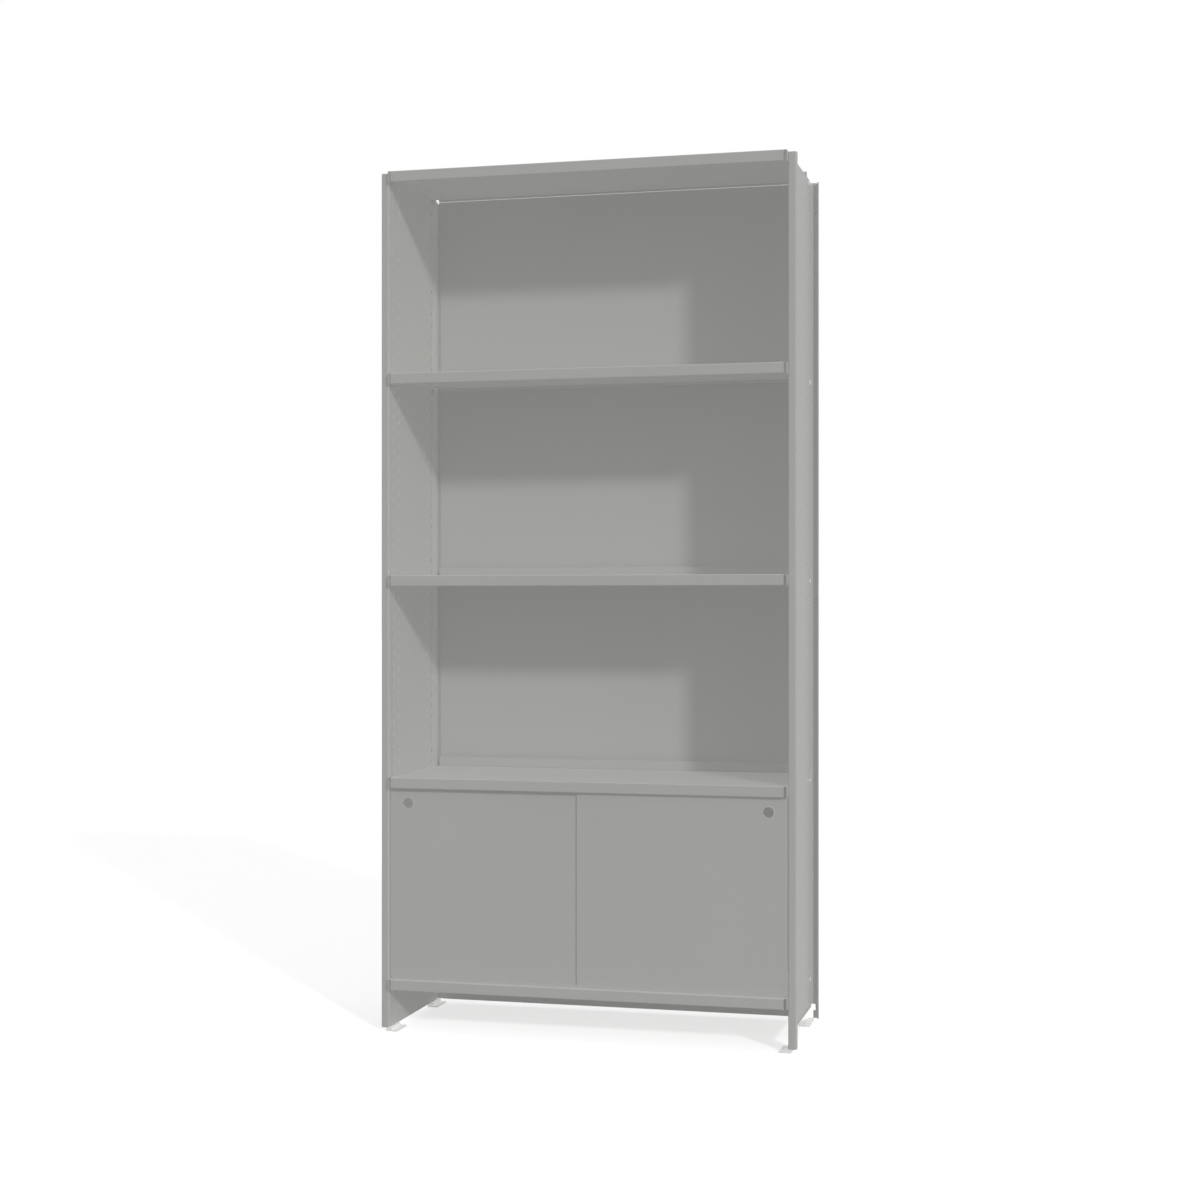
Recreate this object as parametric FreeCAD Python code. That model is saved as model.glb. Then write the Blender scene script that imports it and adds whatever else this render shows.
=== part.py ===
"""Steel bookcase: two slotted side panels, five folded shelves, three open bays above a cabinet
that two sliding doors close.

Millimetres, +Z up. The front faces -Y and +X is the viewer's right. The origin is on the floor,
below the middle of the bookcase. Heights in the first block count from the lower ends of the side
panels, and depths from their front faces, unless a comment says otherwise.
"""
import FreeCAD, Part
import math
import os
from FreeCAD import Vector

os.makedirs("parts", exist_ok=True)

# ---- overall ---------------------------------------------------------------------------------
WIDTH = 882.0             # over the outer planes of the side panels
SIDE_DEPTH = 320.0        # front face to rear face of a side panel
SLOT_PITCH = 25.0         # the slots' spacing, which sets every shelf height
BASE_LEVEL = 103.0        # top of the lowest shelf
BAY_PITCHES = 17          # slot pitches from one shelf to the next
TOP_STAND = 3.0           # top shelf above the side panels' upper ends
SHELF_NAMES = ("base_shelf", "cabinet_top_shelf", "middle_shelf", "upper_shelf", "top_shelf")

# ---- side panels: one folded sheet each, a C that opens outwards --------------------------------
SIDE_SHEET = 1.25
SIDE_BEND = 2.0           # inner radius of its folds
RECESS = 17.0             # outer plane to the web's inner face
FRONT_LIP = 15.0          # returned lip on the outer plane, at the front
REAR_LIP = 14.0
SLOT_WIDTH = 4.0
SLOT_HEIGHT = 9.0
HOOK_COLUMN = 33.0        # slot column of the brackets' hooks, behind the front face
BOLT_COLUMN = 44.0        # slot column of the brackets' bolts, ahead of the rear face
SLOT_MARGIN = 8.0         # least distance from a slot's middle to either end of the panel
KICK_HEIGHT = 25.0        # the right web stops this far up, behind the front foot
RELIEF_WIDTH = 9.5        # relief at the end of that cut, in the rear flange
RELIEF_LOW = 16.5
RELIEF_HIGH = 30.0
FLANGE_TRIM = 4.6         # the flange is this much narrower below the relief

# ---- shelves --------------------------------------------------------------------------------------
SHELF_SHEET = 1.0
SHELF_BEND = 1.0
SHELF_PROUD = 10.0        # front edge ahead of the side panels
SHELF_END_GAP = 7.6       # end of the front and rear edges to the web's inner face
SHELF_END_BEND = 1.6      # inner radius of the fold above each end flange
SHELF_END_LIP = 2.2       # turned-in front edge of an end flange
FASCIA = 22.6             # height of the front edge and of the end flanges
FASCIA_RETURN = 8.0
REAR_SETBACK = 16.0       # rear of the top face ahead of the side panels' rear faces
HEM_GAP = 3.0             # inside the narrow channel that stiffens the rear edge
HEM_DROP = 6.0            # how far that channel hangs below the top face
UPSTAND = 20.5            # rear upstand above the top face

# ---- shelf brackets: hooked into the web at the front, bolted to it at the rear --------------------------
BRACKET_SHEET = 1.5
BRACKET_BEND = 1.5
BRACKET_DROP = 20.0       # upright leg, at the hook and at the bolt
BRACKET_WAIST = 6.5       # upright leg between the two
BRACKET_EAR = 10.0        # half the length of the deep part round the hook or the bolt
BRACKET_LEDGE = 16.0      # leg under the shelf
BRACKET_START = 20.0
BRACKET_REAR_GAP = 5.0    # rear end to the shelf's rear channel
HOOK_THICK = 2.5
HOOK_RISE = 1.5           # hook's upper edge above the slot's middle
HOOK_NOSE = 7.0           # nose's lower end below the slot's middle
HOOK_NECK = 4.2           # neck's lower edge below the slot's middle
HOOK_GAP = 0.4            # nose to the web
HOOK_NOSE_T = 1.8
BOLT_DROP = 12.0          # bolt axis below a shelf's top face
BOLT_D = 3.8
BOLT_TAIL = 2.0           # thread beyond the nut
BOLT_HEAD_FLATS = 10.0
BOLT_HEAD_T = 4.0
NUT_FLATS = 7.0
NUT_T = 3.2
BOLT_CLEARANCE = 0.1      # round the shank, in the nut
HOLE_CLEARANCE = 0.3      # round the shank, in the bracket

# ---- back panel -----------------------------------------------------------------------------------------
BACK_SHEET = 0.8
BACK_BEND = 0.8
BACK_STANDOFF = 5.0       # front of the panel behind the side panels' rear faces
BACK_INSET = 3.0          # its edge inside the outer plane
BACK_RISE = 2.5           # the field stands this far ahead of the fixing strips
BACK_STEP = 6.0           # width of the slope between the two
BACK_STRIP_SHORT = 3.0    # fixing strips below the side panels' upper ends
BACK_NOTCH = 18.0         # cut-out of the lower right corner, inward of the web
SCREW_ROWS = 3
SCREW_MARGIN = 60.0
SCREW_D = 3.9
SCREW_REACH = 9.0
SCREW_HEAD_D = 8.0
SCREW_HEAD_T = 1.8
ROUND_SIDES = 8           # flat sides that stand for each small shank and its holes

# ---- doors and tracks --------------------------------------------------------------------------------------
DOOR_FACE = 0.6           # front of the front door
DOOR_THICK = 3.0
DOOR_GAP = 1.6            # between the two doors
DOOR_SHEET = 0.7
DOOR_EDGE = 1.0           # rounding of the folded edges
DOOR_RETURN = 15.0        # returned rim on the back
DOOR_END_GAP = 1.5        # outer edge to the web
DOOR_OVERLAP = 30.0
RIB = 0.8                 # thickness of the tracks' ribs
LOWER_PLATE = 1.2
LOWER_RIB = 4.0
DOOR_DIP = 2.0            # door's lower edge below the tops of the lower ribs
UPPER_PLATE = 1.5
UPPER_RIB = 15.0
DOOR_TOP_GAP = 9.5        # door below the upper track's plate, which lets it be lifted off
TRACK_END_GAP = 4.5       # upper track to the web
GLIDE_LENGTH = 30.0
GLIDE_MARGIN = 22.0       # glide to the door's edge
GLIDE_SIDE_PLAY = 0.4
GLIDE_SEAT = 0.3          # glide above the lower track
GLIDE_CHAMFER = 1.0
UPPER_GLIDE = 4.0

# ---- finger rings --------------------------------------------------------------------------------------------
PULL_BELOW_SHELF = 54.0   # ring centre below the cabinet top
RING_BORE = 21.5
RING_WALL = 1.0
RING_FLANGE = 1.6
RING_PROUD = 0.6
PULL_INSET = 38.8         # ring centre to the door's outer edge

# ---- feet -------------------------------------------------------------------------------------------------------
FOOT_WIDTH = 25.0
FOOT_LENGTH = 59.0
FOOT_PLATE = 3.0
FOOT_CORNER = 3.0
FOOT_REACH = 6.0          # its outer edge beyond the web's inner face
RISER_HEIGHT = 5.0
RISER_WIDTH = 12.0
RISER_MARGIN = 4.0        # shorter than the plate, at the end away from the corner
JAW_HEIGHT = 6.0
JAW_THICK = 3.0

# ---- places that follow --------------------------------------------------------------------------------------------
LIFT = FOOT_PLATE + RISER_HEIGHT
TOTAL_DEPTH = SHELF_PROUD + SIDE_DEPTH + BACK_STANDOFF + BACK_SHEET + SCREW_HEAD_T
FRONT = SHELF_PROUD - TOTAL_DEPTH / 2          # Y of the side panels' front faces
REAR = FRONT + SIDE_DEPTH
HALF = WIDTH / 2
WEB = HALF - RECESS                            # X of the right web's inner face
BAY_STEP = BAY_PITCHES * SLOT_PITCH
LEVELS = [LIFT + BASE_LEVEL + i * BAY_STEP for i in range(len(SHELF_NAMES))]
SIDE_TOP = LEVELS[-1] - TOP_STAND
SHELF_END = WEB - SHELF_END_GAP
SHELF_REAR = REAR - REAR_SETBACK
BACK_FACE = REAR + BACK_STANDOFF
FLANGE_MIDDLE = HALF - RECESS / 2              # where the back panel's screws go through
DOOR_PITCH = DOOR_THICK + DOOR_GAP
DOOR_OUTER = WEB - DOOR_END_GAP
DOOR_WIDTH = DOOR_OUTER + DOOR_OVERLAP / 2
TRACK_RIBS = [FRONT + DOOR_FACE - DOOR_GAP / 2 + i * DOOR_PITCH for i in range(3)]
UPPER_TRACK_TOP = LEVELS[1] - SHELF_SHEET
DOOR_BOTTOM = LEVELS[0] + LOWER_PLATE + LOWER_RIB - DOOR_DIP
DOOR_TOP = UPPER_TRACK_TOP - UPPER_PLATE - DOOR_TOP_GAP
HOOK_Y = FRONT + HOOK_COLUMN
BOLT_Y = REAR - BOLT_COLUMN
SCREW_HEIGHTS = [LIFT + SCREW_MARGIN + i * (SIDE_TOP - LIFT - 2 * SCREW_MARGIN) / (SCREW_ROWS - 1)
                 for i in range(SCREW_ROWS)]


# ---- helpers ----------------------------------------------------------------------------------------------------------
def heading(a, b):
    """Unit vector from a to b, in the plane of a section."""
    length = math.hypot(b[0] - a[0], b[1] - a[1])
    return (b[0] - a[0]) / length, (b[1] - a[1]) / length


def parallel(path, distance):
    """An open path moved sideways, to the left of its travel, with mitred corners."""
    runs = [heading(a, b) for a, b in zip(path, path[1:])]
    moved = []
    for i, (u, v) in enumerate(path):
        before, after = runs[max(i - 1, 0)], runs[min(i, len(runs) - 1)]
        scale = distance / (1 + before[0] * after[0] + before[1] * after[1])
        moved.append((u - (before[1] + after[1]) * scale, v + (before[0] + after[0]) * scale))
    return moved


def sheet_face(middle, radius, shift):
    """One face of a folded sheet: lines and arcs, `shift` to the left of its middle line."""
    ends = parallel(middle, shift)
    pieces, last = [], ends[0]
    for a, corner, b in zip(middle, middle[1:], middle[2:]):
        before, after = heading(a, corner), heading(corner, b)
        cross = before[0] * after[1] - before[1] * after[0]
        turn = math.copysign(1, cross)
        setback = radius * abs(cross) / (1 + before[0] * after[0] + before[1] * after[1])
        centre = (corner[0] - before[0] * setback - before[1] * radius * turn,
                  corner[1] - before[1] * setback + before[0] * radius * turn)
        reach = radius - shift * turn
        outward = heading(centre, corner)
        enter = (centre[0] + before[1] * reach * turn, centre[1] - before[0] * reach * turn)
        crown = (centre[0] + outward[0] * reach, centre[1] + outward[1] * reach)
        leave = (centre[0] + after[1] * reach * turn, centre[1] - after[0] * reach * turn)
        pieces += [(last, enter), (enter, crown, leave)]
        last = leave
    return pieces + [(last, ends[-1])]


def folded(path, thickness, bend, place, run):
    """A folded sheet. `path` is the face on the left of its travel, `bend` the inner radius of each
    fold, `place` puts a section point in space, and `run` is the length it is pulled out to."""
    middle = parallel(path, -thickness / 2)
    radius = bend + thickness / 2
    left = sheet_face(middle, radius, thickness / 2)
    right = sheet_face(middle, radius, -thickness / 2)
    caps = [(left[0][0], right[0][0]), (left[-1][-1], right[-1][-1])]
    edges = []
    for points in left + right + caps:
        spots = [place(*point) for point in points]
        curve = Part.Arc(*spots) if len(spots) == 3 else Part.LineSegment(*spots)
        edges.append(curve.toShape())
    return Part.Face(Part.Wire(Part.__sortEdges__(edges))).extrude(run)


def block(x0, x1, y0, y1, z0, z1):
    """A cuttable block between two values on each axis."""
    return Part.makeBox(x1 - x0, y1 - y0, z1 - z0, Vector(x0, y0, z0))


def rod(diameter, start, end):
    """A cylinder from one point to another."""
    return Part.makeCylinder(diameter / 2, (end - start).Length, start, end - start)


def prism(sides, flats, start, run):
    """A regular prism along X or Y, with two of its flats upright."""
    corner = flats / 2 / math.cos(math.pi / sides)
    across = Vector(0, 1, 0) if run.x else Vector(1, 0, 0)
    turns = [math.pi / 2 + (i - 0.5) * 2 * math.pi / sides for i in range(sides + 1)]
    outline = [start + across * (corner * math.sin(t)) + Vector(0, 0, corner * math.cos(t))
               for t in turns]
    return Part.Face(Part.makePolygon(outline)).extrude(run)


def mirrored(shape):
    """The same piece for the other side."""
    return shape.mirror(Vector(0, 0, 0), Vector(1, 0, 0))


def keep(name, shape):
    """Write one sub-part, refusing a shape that isn't sound."""
    if not shape.isValid() or not shape.Solids:
        raise ValueError(name + " is not a sound solid")
    shape.exportStep("parts/" + name + ".step")
    print(f"{name:28s} {len(shape.Solids):3d} solid(s) {shape.Volume / 1000:9.1f} cm3")


# ---- side panels ----------------------------------------------------------------------------------------------------------
def side_panel():
    """The right-hand panel: front lip, front flange, web, rear flange and rear lip in one sheet."""
    section = [(HALF, FRONT + FRONT_LIP), (HALF, FRONT), (WEB, FRONT),
               (WEB, REAR), (HALF, REAR), (HALF, REAR - REAR_LIP)]
    panel = folded(section, SIDE_SHEET, SIDE_BEND, lambda u, v: Vector(u, v, LIFT),
                   Vector(0, 0, SIDE_TOP - LIFT))
    bolt_line = LEVELS[0] - BOLT_DROP
    below = int((bolt_line - LIFT - SLOT_MARGIN) / SLOT_PITCH)
    above = int((SIDE_TOP - SLOT_MARGIN - bolt_line) / SLOT_PITCH)
    cuts = [block(WEB - SIDE_SHEET, WEB + 2 * SIDE_SHEET, y - SLOT_WIDTH / 2, y + SLOT_WIDTH / 2,
                  bolt_line + row * SLOT_PITCH - SLOT_HEIGHT / 2,
                  bolt_line + row * SLOT_PITCH + SLOT_HEIGHT / 2)
            for y in (HOOK_Y, BOLT_Y) for row in range(-below, above + 1)]
    cuts += [prism(ROUND_SIDES, SCREW_D + 2 * HOLE_CLEARANCE,
                   Vector(FLANGE_MIDDLE, REAR - RECESS / 2, z), Vector(0, RECESS, 0))
             for z in SCREW_HEIGHTS]
    return panel.cut(Part.makeCompound(cuts))


def kick_cut():
    """What is cut out of the right panel's foot end, behind the front foot."""
    start = FRONT + FOOT_LENGTH
    web_end = block(WEB - SIDE_SHEET, WEB + SIDE_SHEET + SIDE_BEND, start, REAR + SIDE_SHEET,
                    0, LIFT + KICK_HEIGHT)
    trim = block(WEB - SIDE_SHEET, WEB + FLANGE_TRIM, REAR - RECESS / 2, REAR + SIDE_SHEET,
                 0, LIFT + RELIEF_LOW)
    relief = block(WEB - SIDE_SHEET, WEB + RELIEF_WIDTH, REAR - RECESS / 2, REAR + SIDE_SHEET,
                   LIFT + RELIEF_LOW, LIFT + RELIEF_HIGH)
    return web_end.fuse([trim, relief])


plain_side = side_panel()
keep("left_side_panel", mirrored(plain_side))
keep("right_side_panel", plain_side.cut(kick_cut()))


# ---- shelves ----------------------------------------------------------------------------------------------------------------
def end_flange(level):
    """The right end of a shelf: folded down against the web, with slots for the hook and the bolt
    and a turned-in front edge."""
    fold = SHELF_SHEET + SHELF_BEND
    front, rear = FRONT - SHELF_PROUD + fold, SHELF_REAR - fold
    section = [(SHELF_END - fold, level), (WEB, level), (WEB, level - FASCIA)]
    flange = folded(section, SHELF_SHEET, SHELF_END_BEND, lambda u, v: Vector(u, front, v),
                    Vector(0, rear - front, 0))
    lip = block(WEB - SHELF_END_LIP, WEB, front, front + SHELF_SHEET,
                level - FASCIA, level - SHELF_SHEET - SHELF_END_BEND)
    z = level - BOLT_DROP
    slots = [block(WEB - 2 * SHELF_SHEET, WEB + 1, y - SLOT_WIDTH / 2, y + SLOT_WIDTH / 2,
                   z - SLOT_HEIGHT / 2, z + SLOT_HEIGHT / 2) for y in (HOOK_Y, BOLT_Y)]
    return flange.fuse(lip).cut(slots)


def shelf(level):
    """One folded sheet: returned fascia, top face, end flanges, rear channel and upstand."""
    front_edge = FRONT - SHELF_PROUD
    upstand_face = SHELF_REAR + HEM_GAP
    channel = level - HEM_DROP + SHELF_SHEET
    section = [(front_edge + FASCIA_RETURN, level - FASCIA), (front_edge, level - FASCIA),
               (front_edge, level), (SHELF_REAR, level), (SHELF_REAR, channel),
               (upstand_face, channel), (upstand_face, level + UPSTAND)]
    sheet = folded(section, SHELF_SHEET, SHELF_BEND, lambda u, v: Vector(-SHELF_END, u, v),
                   Vector(2 * SHELF_END, 0, 0))
    flange = end_flange(level)
    return sheet.fuse([flange, mirrored(flange)]).removeSplitter()


for name, level in zip(SHELF_NAMES, LEVELS):
    keep(name, shelf(level))


# ---- brackets, bolts and nuts --------------------------------------------------------------------------------------------
BRACKET_SEAT = WEB - SHELF_SHEET               # X of the upright leg's outer face
BRACKET_FACE = BRACKET_SEAT - BRACKET_SHEET    # X of its inner face


def bracket(level):
    """An angle inside the right end of a shelf. Its hook passes through the end flange and a slot
    of the web, and drops behind the web."""
    top = level - SHELF_SHEET
    start = FRONT + BRACKET_START
    length = SHELF_REAR - SHELF_SHEET - BRACKET_REAR_GAP - start
    section = [(BRACKET_SEAT - BRACKET_LEDGE, top), (BRACKET_SEAT, top),
               (BRACKET_SEAT, top - BRACKET_DROP)]
    angle = folded(section, BRACKET_SHEET, BRACKET_BEND, lambda u, v: Vector(u, start, v),
                   Vector(0, length, 0))
    z = level - BOLT_DROP
    nose = WEB + SIDE_SHEET + HOOK_GAP
    root = BRACKET_SEAT - BRACKET_SHEET / 2
    outline = [(root, -HOOK_NECK), (nose, -HOOK_NECK), (nose, -HOOK_NOSE),
               (nose + HOOK_NOSE_T, -HOOK_NOSE), (nose + HOOK_NOSE_T, HOOK_RISE),
               (root, HOOK_RISE)]
    corners = [Vector(x, HOOK_Y - HOOK_THICK / 2, z + up) for x, up in outline + outline[:1]]
    hook = Part.Face(Part.makePolygon(corners)).extrude(Vector(0, HOOK_THICK, 0))
    half = BOLT_D / 2 + HOLE_CLEARANCE
    hole = block(BRACKET_FACE - 1, WEB, BOLT_Y - half, BOLT_Y + half,
                 z - SLOT_HEIGHT / 2, z + SLOT_HEIGHT / 2)
    waist = block(BRACKET_FACE - 1, WEB, HOOK_Y + BRACKET_EAR, BOLT_Y - BRACKET_EAR,
                  top - BRACKET_DROP - 1, top - BRACKET_WAIST)
    return angle.fuse(hook).cut([hole, waist])


def bolt(z):
    """Hexagon bolt from the recess of the right panel, through a slot and the bracket."""
    seat = WEB + SIDE_SHEET
    tail = BRACKET_FACE - NUT_T - BOLT_TAIL
    shank = prism(ROUND_SIDES, BOLT_D, Vector(tail, BOLT_Y, z), Vector(seat - tail, 0, 0))
    return shank.fuse(prism(6, BOLT_HEAD_FLATS, Vector(seat, BOLT_Y, z), Vector(BOLT_HEAD_T, 0, 0)))


def nut(z):
    """Hexagon nut on the bracket's inner face."""
    face = Vector(BRACKET_FACE - NUT_T, BOLT_Y, z)
    bore = prism(ROUND_SIDES, BOLT_D + 2 * BOLT_CLEARANCE, face, Vector(NUT_T, 0, 0))
    return prism(6, NUT_FLATS, face, Vector(NUT_T, 0, 0)).cut(bore)


for name, level in zip(SHELF_NAMES, LEVELS):
    right = bracket(level)
    keep("right_bracket_" + name, right)
    keep("left_bracket_" + name, mirrored(right))

bolt_heights = [level - BOLT_DROP for level in LEVELS]
right_bolts = [bolt(z) for z in bolt_heights]
right_nuts = [nut(z) for z in bolt_heights]
keep("shelf_bolts", Part.makeCompound(right_bolts + [mirrored(b) for b in right_bolts]))
keep("shelf_nuts", Part.makeCompound(right_nuts + [mirrored(n) for n in right_nuts]))


# ---- back panel and its screws ---------------------------------------------------------------------------------------------
def back_panel():
    """A shallow tray: its long edges are folded forward onto the side panels' rear flanges, and its
    field is stepped forward between the two fixing strips."""
    edge = HALF - BACK_INSET
    rear_face = BACK_FACE + BACK_SHEET
    right_half = [(WEB - BACK_STEP, rear_face - BACK_RISE), (WEB, rear_face), (edge, rear_face),
                  (edge, REAR)]
    section = [(-x, y) for x, y in reversed(right_half)] + right_half
    tray = folded(section, BACK_SHEET, BACK_BEND, lambda u, v: Vector(u, v, LIFT),
                  Vector(0, 0, SIDE_TOP - LIFT))
    cuts = [prism(ROUND_SIDES, SCREW_D + 2 * HOLE_CLEARANCE, Vector(x, BACK_FACE - 1, z),
                  Vector(0, BACK_SHEET + 2, 0))
            for x in (-FLANGE_MIDDLE, FLANGE_MIDDLE) for z in SCREW_HEIGHTS]
    strip_end = block(WEB, HALF, REAR - 1, rear_face + 1, SIDE_TOP - BACK_STRIP_SHORT, SIDE_TOP + 1)
    corner = block(WEB - BACK_NOTCH, HALF, REAR - 1, rear_face + 1, 0, LIFT + RELIEF_HIGH)
    return tray.cut(cuts + [strip_end, mirrored(strip_end), corner])


def back_screw(x, z):
    """Pan-head screw from behind, through the tray and the rear flange."""
    seat = BACK_FACE + BACK_SHEET
    shank = prism(ROUND_SIDES, SCREW_D, Vector(x, seat - SCREW_REACH, z),
                  Vector(0, SCREW_REACH, 0))
    return shank.fuse(prism(ROUND_SIDES, SCREW_HEAD_D, Vector(x, seat, z),
                            Vector(0, SCREW_HEAD_T, 0)))


keep("back_panel", back_panel())
keep("back_panel_screws", Part.makeCompound(
    [back_screw(x, z) for x in (-FLANGE_MIDDLE, FLANGE_MIDDLE) for z in SCREW_HEIGHTS]))


# ---- door tracks ---------------------------------------------------------------------------------------------------------------
def track(half_length, plate_low, plate_high, rib_low, rib_high):
    """An extruded strip with three ribs, which leave one channel for each door."""
    front, rear = TRACK_RIBS[0] - RIB / 2, TRACK_RIBS[-1] + RIB / 2
    strip = block(-half_length, half_length, front, rear, min(plate_low, rib_low),
                  max(plate_high, rib_high))
    channels = [block(-half_length - 1, half_length + 1, a + RIB / 2, b - RIB / 2,
                      rib_low, rib_high) for a, b in zip(TRACK_RIBS, TRACK_RIBS[1:])]
    return strip.cut(channels)


lower_plate_top = LEVELS[0] + LOWER_PLATE
keep("lower_door_track", track(SHELF_END, LEVELS[0], lower_plate_top,
                               lower_plate_top, lower_plate_top + LOWER_RIB))
upper_plate_bottom = UPPER_TRACK_TOP - UPPER_PLATE
keep("upper_door_track", track(WEB - TRACK_END_GAP, upper_plate_bottom, UPPER_TRACK_TOP,
                               upper_plate_bottom - UPPER_RIB, upper_plate_bottom))


# ---- doors ----------------------------------------------------------------------------------------------------------------------
def door(outer_x, inner_x, face_y, ring_x):
    """A shallow tray with folded edges, a returned rim on its back and a hole for the ring."""
    low_x, high_x = min(outer_x, inner_x), max(outer_x, inner_x)
    back_y = face_y + DOOR_THICK
    body = block(low_x, high_x, face_y, back_y, DOOR_BOTTOM, DOOR_TOP)
    front_edges = [e for e in body.Edges if all(abs(v.Y - face_y) < 1e-6 for v in e.Vertexes)]
    body = body.makeFillet(DOOR_EDGE, front_edges)
    hollow = block(low_x + DOOR_SHEET, high_x - DOOR_SHEET, face_y + DOOR_SHEET,
                   back_y - DOOR_SHEET, DOOR_BOTTOM + DOOR_SHEET, DOOR_TOP - DOOR_SHEET)
    inner_edges = [e for e in hollow.Edges
                   if all(abs(v.Y - face_y - DOOR_SHEET) < 1e-6 for v in e.Vertexes)]
    hollow = hollow.makeFillet(DOOR_EDGE - DOOR_SHEET, inner_edges)
    window = block(low_x + DOOR_RETURN, high_x - DOOR_RETURN, back_y - 2 * DOOR_SHEET,
                   back_y + DOOR_SHEET, DOOR_BOTTOM + DOOR_RETURN, DOOR_TOP - DOOR_RETURN)
    hole = rod(RING_BORE + 2 * RING_WALL + 2 * BOLT_CLEARANCE,
               Vector(ring_x, face_y - 1, PULL_HEIGHT), Vector(ring_x, back_y - 1, PULL_HEIGHT))
    return body.cut([hollow, window, hole])


def finger_ring(ring_x, face_y):
    """An open plastic ring: a thin flange on the door's face and a sleeve as deep as the door."""
    def at(offset):
        return Vector(ring_x, face_y + offset, PULL_HEIGHT)

    sleeve_d = RING_BORE + 2 * RING_WALL
    flange = rod(sleeve_d + 2 * RING_FLANGE, at(-RING_PROUD), at(0))
    sleeve = rod(sleeve_d, at(0), at(DOOR_THICK))
    return flange.fuse(sleeve).cut(rod(RING_BORE, at(-1), at(DOOR_THICK + 1)))


def glides(low_x, high_x, face_y, bottom, top):
    """Two nylon glides, one near each end of a door."""
    middle = face_y + DOOR_THICK / 2
    half = (DOOR_PITCH - RIB) / 2 - GLIDE_SIDE_PLAY
    starts = (low_x + GLIDE_MARGIN, high_x - GLIDE_MARGIN - GLIDE_LENGTH)
    pieces = []
    for start in starts:
        pad = block(start, start + GLIDE_LENGTH, middle - half, middle + half, bottom, top)
        ends = [e for e in pad.Edges if abs(e.Vertexes[0].Z - e.Vertexes[1].Z) > 1]
        pieces.append(pad.makeChamfer(GLIDE_CHAMFER, ends))
    return Part.makeCompound(pieces)


PULL_HEIGHT = LEVELS[1] - PULL_BELOW_SHELF
for name, side, face_depth in (("right", 1, DOOR_FACE), ("left", -1, DOOR_FACE + DOOR_PITCH)):
    outer_x = side * DOOR_OUTER
    inner_x = outer_x - side * DOOR_WIDTH
    face_y = FRONT + face_depth
    ring_x = outer_x - side * PULL_INSET
    low_x, high_x = min(outer_x, inner_x), max(outer_x, inner_x)
    keep(name + "_door", door(outer_x, inner_x, face_y, ring_x))
    keep(name + "_finger_ring", finger_ring(ring_x, face_y))
    keep(name + "_door_lower_glides", glides(low_x, high_x, face_y,
                                             lower_plate_top + GLIDE_SEAT, DOOR_BOTTOM))
    keep(name + "_door_upper_glides", glides(low_x, high_x, face_y,
                                             DOOR_TOP, DOOR_TOP + UPPER_GLIDE))


# ---- feet ---------------------------------------------------------------------------------------------------------------------------
def foot(front_y, rear_y, has_jaw):
    """Plastic foot under a corner of the right panel: floor plate, riser and a jaw in the recess."""
    outer, inner = WEB + FOOT_REACH, WEB + FOOT_REACH - FOOT_WIDTH
    plate = block(inner, outer, front_y, rear_y, 0, FOOT_PLATE)
    upright = [e for e in plate.Edges if abs(e.Vertexes[0].Z - e.Vertexes[1].Z) > 1]
    plate = plate.makeFillet(FOOT_CORNER, upright)
    at_front = front_y < 0
    riser_front = front_y if at_front else front_y + RISER_MARGIN
    riser_rear = rear_y - RISER_MARGIN if at_front else rear_y
    riser = block(outer - RISER_WIDTH, outer, riser_front, riser_rear, 0, LIFT)
    if not has_jaw:
        return plate.fuse(riser).removeSplitter()
    seat = WEB + SIDE_SHEET
    jaw = block(seat, seat + JAW_THICK, riser_front + FRONT_LIP, riser_rear - REAR_LIP,
                0, LIFT + JAW_HEIGHT)
    return plate.fuse([riser, jaw]).removeSplitter()


FRONT_FOOT = (FRONT, FRONT + FOOT_LENGTH)
REAR_FOOT = (REAR - FOOT_LENGTH, REAR)
keep("front_right_foot", foot(*FRONT_FOOT, has_jaw=True))
keep("front_left_foot", mirrored(foot(*FRONT_FOOT, has_jaw=True)))
keep("rear_left_foot", mirrored(foot(*REAR_FOOT, has_jaw=True)))
keep("rear_right_foot", foot(*REAR_FOOT, has_jaw=False))
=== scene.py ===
# %% [markdown]
# # A steel bookcase with a cabinet at its foot
# The bookcase is folded sheet steel: two slotted side panels, five shelves and a thin back, with
# two sliding doors in front of the lowest bay. One light grey powder coat covers all of it. The
# folded shapes come from the frame as they are. This lesson gives them their finish, punches the
# slots that the frame leaves out, makes the small turned and threaded parts, and sets up a plain
# studio.

import math

import bmesh
import bpy
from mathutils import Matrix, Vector


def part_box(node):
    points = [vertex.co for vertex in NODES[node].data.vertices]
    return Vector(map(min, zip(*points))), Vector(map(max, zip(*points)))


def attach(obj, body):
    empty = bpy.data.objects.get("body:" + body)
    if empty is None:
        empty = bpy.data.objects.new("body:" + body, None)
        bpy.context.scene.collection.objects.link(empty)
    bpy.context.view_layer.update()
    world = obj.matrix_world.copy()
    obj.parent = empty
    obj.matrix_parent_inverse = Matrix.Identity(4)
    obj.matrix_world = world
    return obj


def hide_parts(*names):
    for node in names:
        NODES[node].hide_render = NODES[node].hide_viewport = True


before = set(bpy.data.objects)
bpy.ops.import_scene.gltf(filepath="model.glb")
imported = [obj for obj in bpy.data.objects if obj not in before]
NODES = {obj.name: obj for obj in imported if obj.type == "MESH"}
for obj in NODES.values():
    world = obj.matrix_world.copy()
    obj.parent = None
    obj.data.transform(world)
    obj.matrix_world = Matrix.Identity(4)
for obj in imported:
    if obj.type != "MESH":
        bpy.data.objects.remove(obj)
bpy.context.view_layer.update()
MM = 0.001


# %% [markdown]
# ## Camera
# The bookcase is seen from its right, at about half its height, with a slightly long lens. A
# level camera keeps every upright line upright, so the only turn is about Z.

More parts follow.
